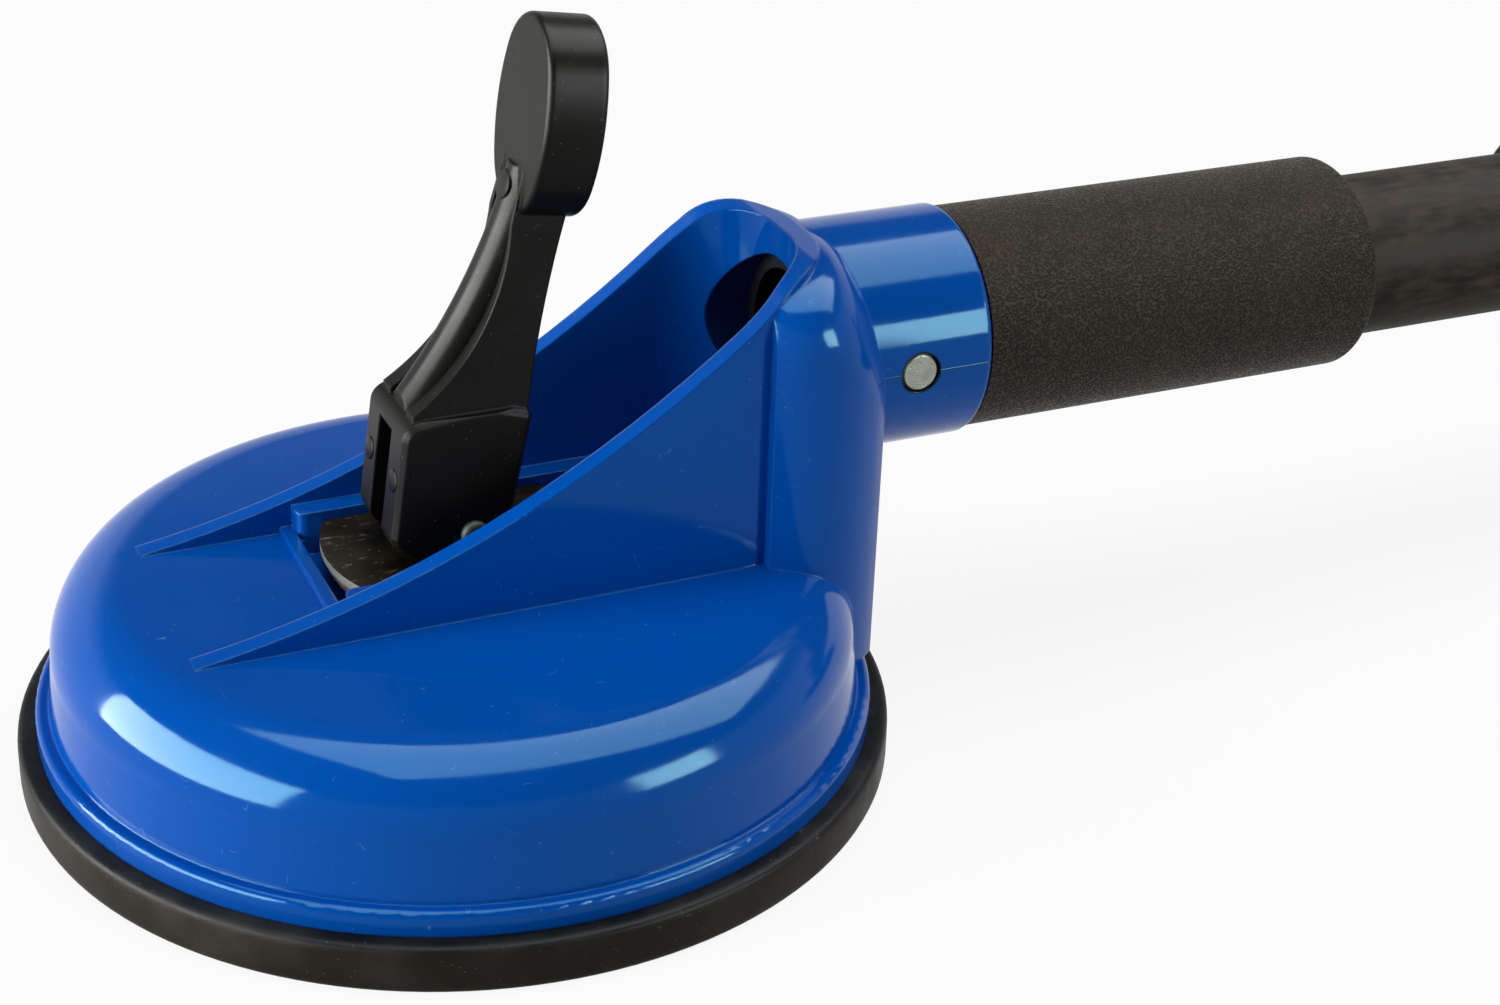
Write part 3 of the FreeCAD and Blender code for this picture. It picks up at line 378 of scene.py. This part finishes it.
def oiled_steel():
    """Plain steel pin under old oil: dull, dark grey and uneven."""
    film_size = 1.2
    material, tree, shader = new_material("oiled_steel_pin", Metallic=1.0)
    film = add_node(tree, "ShaderNodeTexNoise", Vector=in_millimetres(tree), Scale=1 / film_size,
                    Detail=4.0)
    paint = add_node(tree, "ShaderNodeMix", COLOURS, _0=film, _6=colour("#1D2020"), _7=colour("#474C4A"))
    roughness = add_node(tree, "ShaderNodeMapRange", Value=film, To_Min=0.5, To_Max=0.7)
    join_finish(tree, shader, paint, roughness)
    return material


NYLON = moulded_nylon()
RUBBER = nitrile_rubber()
STAMPED = stamped_steel()
PLATED = zinc_plated_steel()

FINISHES = {
    "housing": moulded_abs(),
    "suction_pad": RUBBER,
    "lower_wear_plate": STAMPED,
    "upper_wear_plate": STAMPED,
    "backing_plate": PLATED,
    "draw_stem": PLATED,
    "lock_nut": PLATED,
    "lever": NYLON,
    "lever_pin": oiled_steel(),
    "socket_pin": PLATED,
    "grip_sleeve": grained_grip(),
    "handle_tube": coated_tube(),
}


def finish_solids():
    """Puts each solid's finish into its own slots."""
    for name, solid in nodes.items():
        piece = name.removeprefix("left_").removeprefix("right_")
        for material_slot in solid.material_slots:
            material_slot.material = FINISHES[piece]


# ---------------------------------------------------------------- pads and ejector marks

def add_piece(name, shape, material, body):
    """A finished mesh as an object of the lifter that moves with a body."""
    mesh = bpy.data.meshes.new(name)
    shape.to_mesh(mesh)
    shape.free()
    mesh.materials.append(material)
    for face in mesh.polygons:
        face.use_smooth = True
    piece = bpy.data.objects.new(name, mesh)
    bpy.context.scene.collection.objects.link(piece)
    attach(piece, body)
    return piece


def turned_solid(profile, middle):
    """A profile of (radius, height) from axis to axis, turned about the upright axis through the
    middle. Each of its two ends meets in a closed pole."""
    shape = bmesh.new()
    corners = [shape.verts.new((radius * MM, 0, height * MM)) for radius, height in profile]
    for start, stop in zip(corners, corners[1:]):
        shape.edges.new((start, stop))
    bmesh.ops.spin(shape, geom=shape.verts[:] + shape.edges[:], cent=(0, 0, 0), axis=(0, 0, 1),
                   angle=math.tau, steps=144, use_merge=True)
    bmesh.ops.remove_doubles(shape, verts=shape.verts, dist=0.001 * MM)
    bmesh.ops.recalc_face_normals(shape, faces=shape.faces)
    bmesh.ops.translate(shape, verts=shape.verts, vec=middle)
    return shape


def rubber_pad(side):
    """Soft pad: a bulged rim with rounded edges, a shallow sealing lip and groove underneath,
    and a thin web in the middle."""
    groove = ((37.6, 0.0), (38.0, 0.15), (38.3, 0.8), (38.8, 1.0),
              (40.2, 1.0), (40.7, 0.8), (41.0, 0.15), (41.4, 0.0))
    lip = ((53.6, 0.0), (54.6, 0.1), (56.2, 0.55), (57.0, 0.65), (57.8, 0.55), (59.1, 0.08), (59.5, 0.0))
    rim_foot = ((PAD_RADIUS - 0.2, 0.1), (PAD_RADIUS - 0.05, 0.45), (PAD_RADIUS, 1.2))
    rim_bulge = ((PAD_RADIUS - 0.02, 3.0), (PAD_RADIUS - 0.06, 5.0))
    rim_crown = ((PAD_RADIUS - 0.15, PAD_HEIGHT - 0.65), (PAD_RADIUS - 0.4, PAD_HEIGHT - 0.2),
                 (PAD_RADIUS - 0.85, PAD_HEIGHT - 0.02), (PAD_RADIUS - 1.4, PAD_HEIGHT))
    step = ((49.6, PAD_HEIGHT), (49.15, PAD_HEIGHT - 0.15), (49.0, PAD_HEIGHT - 0.6),
            (48.9, WEB_HEIGHT + 0.6), (48.6, WEB_HEIGHT + 0.15), (48.0, WEB_HEIGHT))
    profile = ((0, 0.0), *groove, *lip, *rim_foot, *rim_bulge, *rim_crown, *step, (0, WEB_HEIGHT))
    middle = Vector((WAYS[side] * HEAD_PLACE * MM, 0, 0))
    pad = add_piece(side + "_rubber_pad", turned_solid(profile, middle), RUBBER, "root")
    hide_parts(side + "_suction_pad")


def ejector_mark(side, name, place, facing, radius):
    """Round mark of an ejector pin, standing just proud of the lever."""
    shape = bmesh.new()
    bmesh.ops.create_cone(shape, cap_ends=True, segments=48, radius1=radius * MM, radius2=radius * MM,
                          depth=2 * MARK_HALF_DEPTH * MM)
    rim = [edge for edge in shape.edges if all(vert.co.z > 0 for vert in edge.verts)]
    bmesh.ops.bevel(shape, geom=rim, offset=0.6 * MARK_PROUD * MM, offset_type="OFFSET", segments=2,
                    profile=0.5, affect="EDGES", material=-1)
    way = WAYS[side]
    towards = Vector((-way * facing[0], -way * facing[1], facing[2])).normalized()
    centre = Vector((way * (HEAD_PLACE - place[0]), -way * place[1], place[2])) * MM
    centre += towards * (MARK_PROUD - MARK_HALF_DEPTH) * MM
    turn = towards.to_track_quat("Z", "Y").to_matrix().to_4x4()
    bmesh.ops.transform(shape, matrix=Matrix.Translation(centre) @ turn, verts=shape.verts)
    add_piece(side + "_" + name, shape, NYLON, side + "_lever")


# ---------------------------------------------------------------- studio

def area_light(name, azimuth, elevation, distance, width, height, power, aim, lights=True, shows=True):
    """A softbox on a sphere about the point it faces. Azimuth is from +X towards +Y, in degrees,
    and lengths are in metres. It may only light the surfaces, or only show in their gloss."""
    data = bpy.data.lights.new(name, "AREA")
    data.shape = "RECTANGLE"
    data.size = width
    data.size_y = height
    data.energy = power
    lamp = bpy.data.objects.new(name, data)
    lamp.visible_diffuse = lights
    lamp.visible_glossy = shows
    bpy.context.scene.collection.objects.link(lamp)
    turn, rise = math.radians(azimuth), math.radians(elevation)
    away = Vector((math.cos(turn) * math.cos(rise), math.sin(turn) * math.cos(rise), math.sin(rise)))
    lamp.location = aim + away * distance
    lamp.rotation_euler = away.to_track_quat("Z", "Y").to_euler()


def lamps():
    """Two windows and a skylight that draw the bright streaks on the mouldings, and soft light
    from the sides and overhead."""
    faced_height = 30
    left_head = Vector((-HEAD_PLACE * MM, 0, faced_height * MM))
    area_light("window_left", azimuth=177, elevation=14, distance=0.6, width=0.70, height=0.37,
               power=25.0, aim=left_head, lights=False)
    area_light("window_right", azimuth=-50, elevation=15, distance=1.0, width=0.40, height=0.34,
               power=11.5, aim=left_head, lights=False)
    area_light("light_left", azimuth=172, elevation=12, distance=1.0, width=0.8, height=0.5,
               power=15.0, aim=left_head, shows=False)
    area_light("light_right", azimuth=-50, elevation=20, distance=1.0, width=0.4, height=0.4,
               power=2.0, aim=left_head, shows=False)
    area_light("overhead", azimuth=-90, elevation=89, distance=1.0, width=1.5, height=0.63,
               power=10.0, aim=left_head + Vector((0.45, 0, 0)), shows=False)
    area_light("skylight", azimuth=-90, elevation=89, distance=0.98, width=1.7, height=0.9,
               power=46.0, aim=left_head + Vector((0.45, 0.04, 0)), lights=False)


def seen(tree):
    """1 for what the view, a mirror or glass sees, and 0 for what only lights a surface."""
    path = add_node(tree, "ShaderNodeLightPath")
    share = path.outputs["Is Camera Ray"]
    for ray in ("Is Glossy Ray", "Is Transmission Ray"):
        share = add_node(tree, "ShaderNodeMath", {"operation": "MAXIMUM"}, _0=share, _1=path.outputs[ray])
    return share


def room():
    """A room that is white near the floor and dark above where it is seen or mirrored, and
    lights everything dimly and evenly."""
    white_below, dark_above, dim = 0.33, 0.5, 0.12
    world = bpy.data.worlds.new("studio")
    bpy.context.scene.world = world
    world.use_nodes = True
    tree = world.node_tree
    tree.nodes.clear()
    direction = add_node(tree, "ShaderNodeTexCoord")
    direction = add_node(tree, "ShaderNodeSeparateXYZ", Vector=direction.outputs["Generated"])
    walls = add_node(tree, "ShaderNodeMapRange", {"interpolation_type": "SMOOTHSTEP"},
                     Value=direction.outputs["Z"], From_Min=white_below, From_Max=dark_above,
                     To_Min=1.0, To_Max=dim)
    strength = add_node(tree, "ShaderNodeMapRange", Value=seen(tree), To_Min=dim, To_Max=walls)
    sky = add_node(tree, "ShaderNodeBackground", Color=(1.0, 1.0, 1.0, 1.0), Strength=strength)
    add_node(tree, "ShaderNodeOutputWorld", Surface=sky)


def floor():
    """A plain pale sheet under the pads, white where it is seen or mirrored, that keeps a part
    of the object's shadow."""
    sheet_radius, sheet_drop, white_part = 6000, 0.05, 0.88
    mesh = bpy.data.meshes.new("floor")
    shape = bmesh.new()
    bmesh.ops.create_circle(shape, cap_ends=True, segments=96, radius=sheet_radius * MM)
    shape.to_mesh(mesh)
    shape.free()
    sheet = bpy.data.objects.new("floor", mesh)
    bpy.context.scene.collection.objects.link(sheet)
    sheet.location.z = -sheet_drop * MM
    material, tree, shader = new_material("white_floor", Roughness=0.9, Specular_IOR_Level=0.2,
                                          Base_Color=colour("#DCDCDA"))
    share = add_node(tree, "ShaderNodeMath", {"operation": "MULTIPLY"}, _0=seen(tree), _1=white_part)
    white = add_node(tree, "ShaderNodeEmission", Color=(1.0, 1.0, 1.0, 1.0), Strength=1.0)
    both = add_node(tree, "ShaderNodeMixShader", _0=share, _1=shader, _2=white)
    tree.links.new(both.outputs[0], tree.nodes["Material Output"].inputs["Surface"])
    mesh.materials.append(material)


def camera():
    """Looks down on the left head from the front left, with the bar running off to the right."""
    nearest, farthest = 20, 30000
    turn = math.radians(VIEW_TURN)
    fall = math.radians(VIEW_FALL)
    roll = math.radians(VIEW_ROLL)
    ahead = Vector((math.cos(fall) * math.sin(turn), math.cos(fall) * math.cos(turn), -math.sin(fall)))
    level = Vector((math.cos(turn), -math.sin(turn), 0))
    up = level.cross(ahead)
    across = math.cos(roll) * level + math.sin(roll) * up
    upright = -math.sin(roll) * level + math.cos(roll) * up
    aim = Vector(((VIEW_AIM[0] - HEAD_PLACE) * MM, VIEW_AIM[1] * MM, VIEW_AIM[2] * MM))
    place = aim - VIEW_DISTANCE * MM * ahead
    data = bpy.data.cameras.new("camera")
    data.sensor_width = SENSOR
    data.lens = LENS
    data.clip_start = nearest * MM
    data.clip_end = farthest * MM
    eye = bpy.data.objects.new("camera", data)
    eye.matrix_world = Matrix(((across.x, upright.x, -ahead.x, place.x),
                               (across.y, upright.y, -ahead.y, place.y),
                               (across.z, upright.z, -ahead.z, place.z),
                               (0, 0, 0, 1)))
    bpy.context.scene.collection.objects.link(eye)
    bpy.context.scene.camera = eye


finish_solids()
for head in WAYS:
    rubber_pad(head)
    for mark, (spot, facing, radius) in EJECTOR_MARKS.items():
        ejector_mark(head, mark, spot, facing, radius)
camera()
lamps()
room()
floor()
bpy.context.scene.view_settings.view_transform = "Standard"
